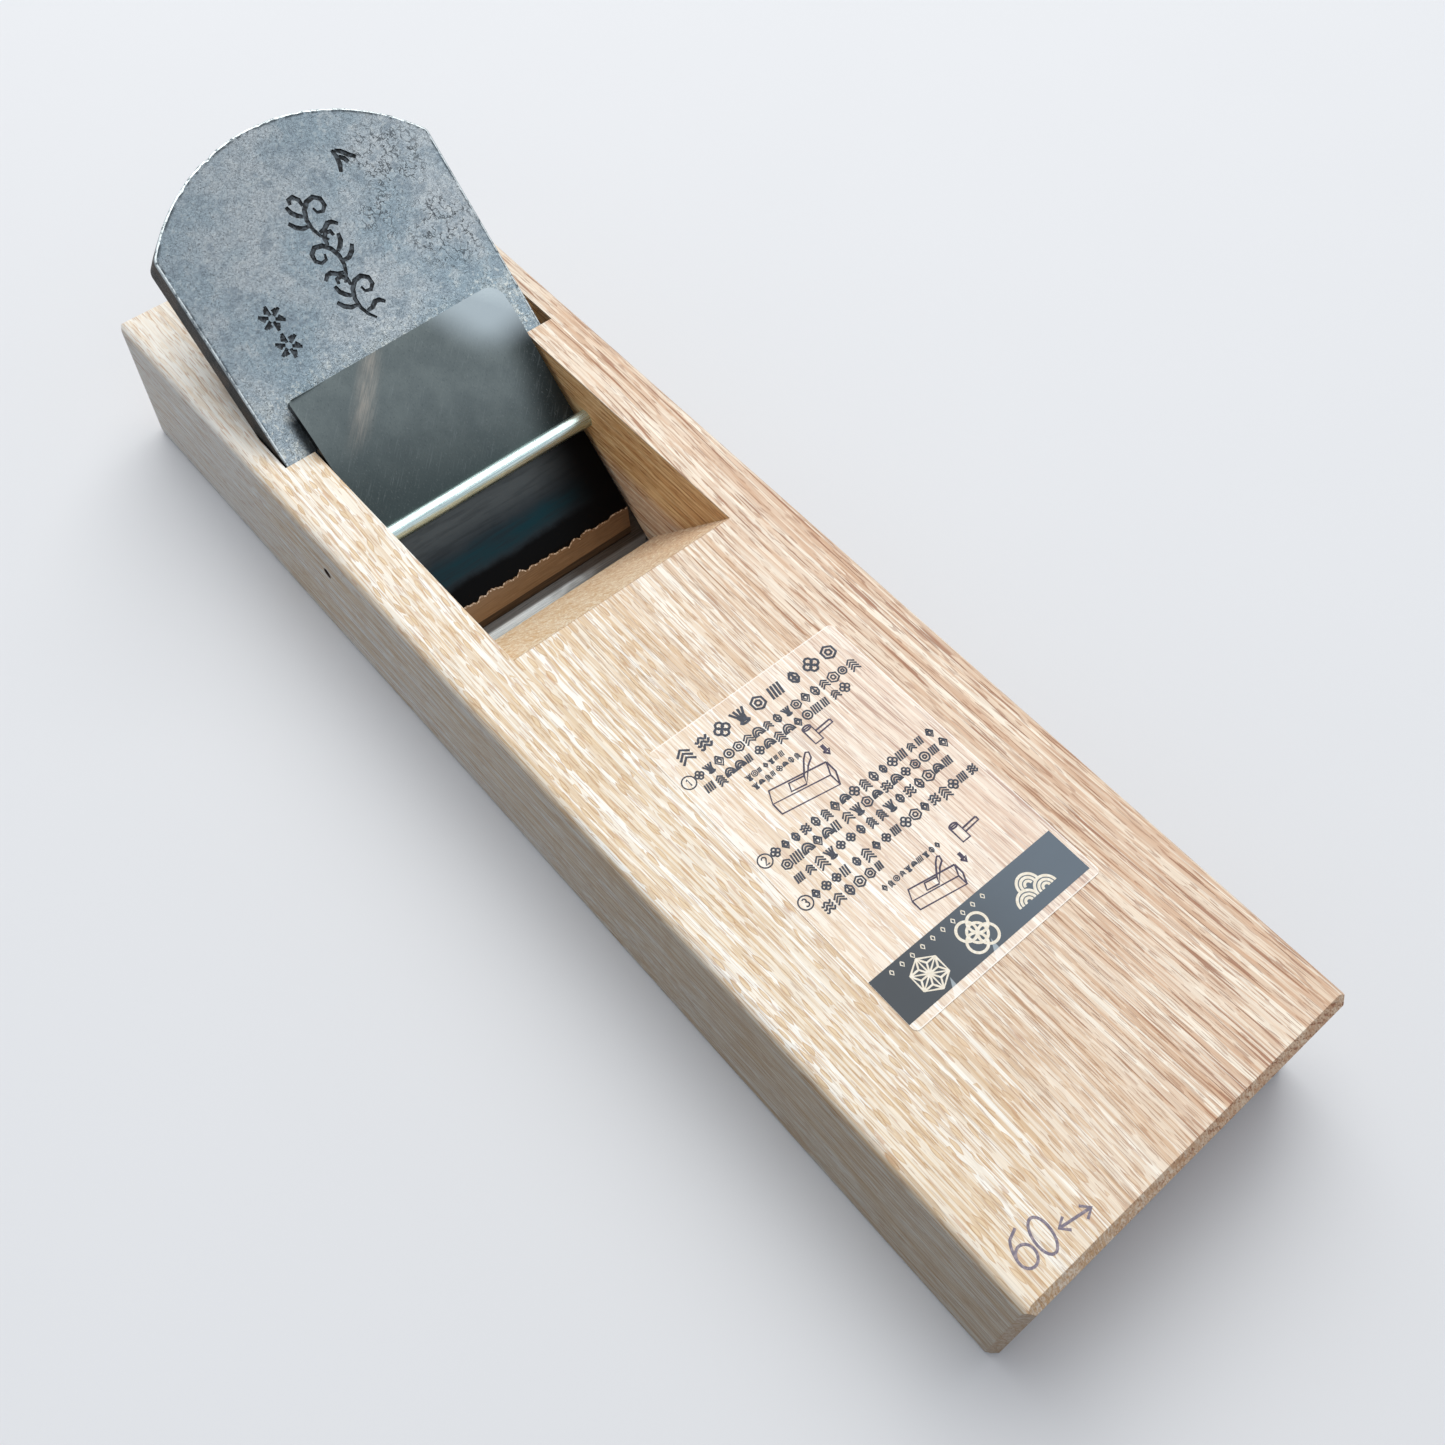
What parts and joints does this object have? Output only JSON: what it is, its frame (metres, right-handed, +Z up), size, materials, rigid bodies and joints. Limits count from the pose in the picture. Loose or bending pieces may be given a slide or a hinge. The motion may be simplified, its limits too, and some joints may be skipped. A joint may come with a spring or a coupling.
{
  "type": "japanese hand plane",
  "caption": "Wooden block plane that is pulled: a long oak block with a sloping throat, a wide round-headed blade held by its own wedge shape, a chipbreaker on the blade and a cross pin.",
  "frame": {"origin": "centre of the block's sole, on the surface that the plane stands on", "axes": "+X along the block, away from the head of the blade; +Y across the block, to the far side as the label is read; +Z up"},
  "size_m": [0.257, 0.075, 0.0674],
  "materials": {
    "oak": "planed, pale oak",
    "forged_iron": "forged grey scale, satin",
    "hard_steel": "polished",
    "dark_steel": "dark satin",
    "bright_steel": "bright drawn",
    "clear_film": "clear glossy film",
    "dark_print": "printed"
  },
  "bodies": {
    "body": {"dai_block": "oak", "retaining_pin": "bright_steel", "label_film": "clear_film", "label_band": "dark_print"},
    "blade": {"blade_iron": "forged_iron", "blade_steel": "hard_steel"},
    "chipbreaker": {"chipbreaker_iron": "dark_steel", "chipbreaker_steel": "hard_steel"}
  },
  "joints": [
    {"name": "blade_slide", "type": "slide", "parent": "body", "child": "blade", "axis": [-0.8018, 0, 0.5976], "range_m": [-0.001, 0.085]},
    {"name": "chipbreaker_slide", "type": "slide", "parent": "blade", "child": "chipbreaker", "axis": [-0.788, 0, 0.6157], "range_m": [-0.0038, 0.06]}
  ]
}
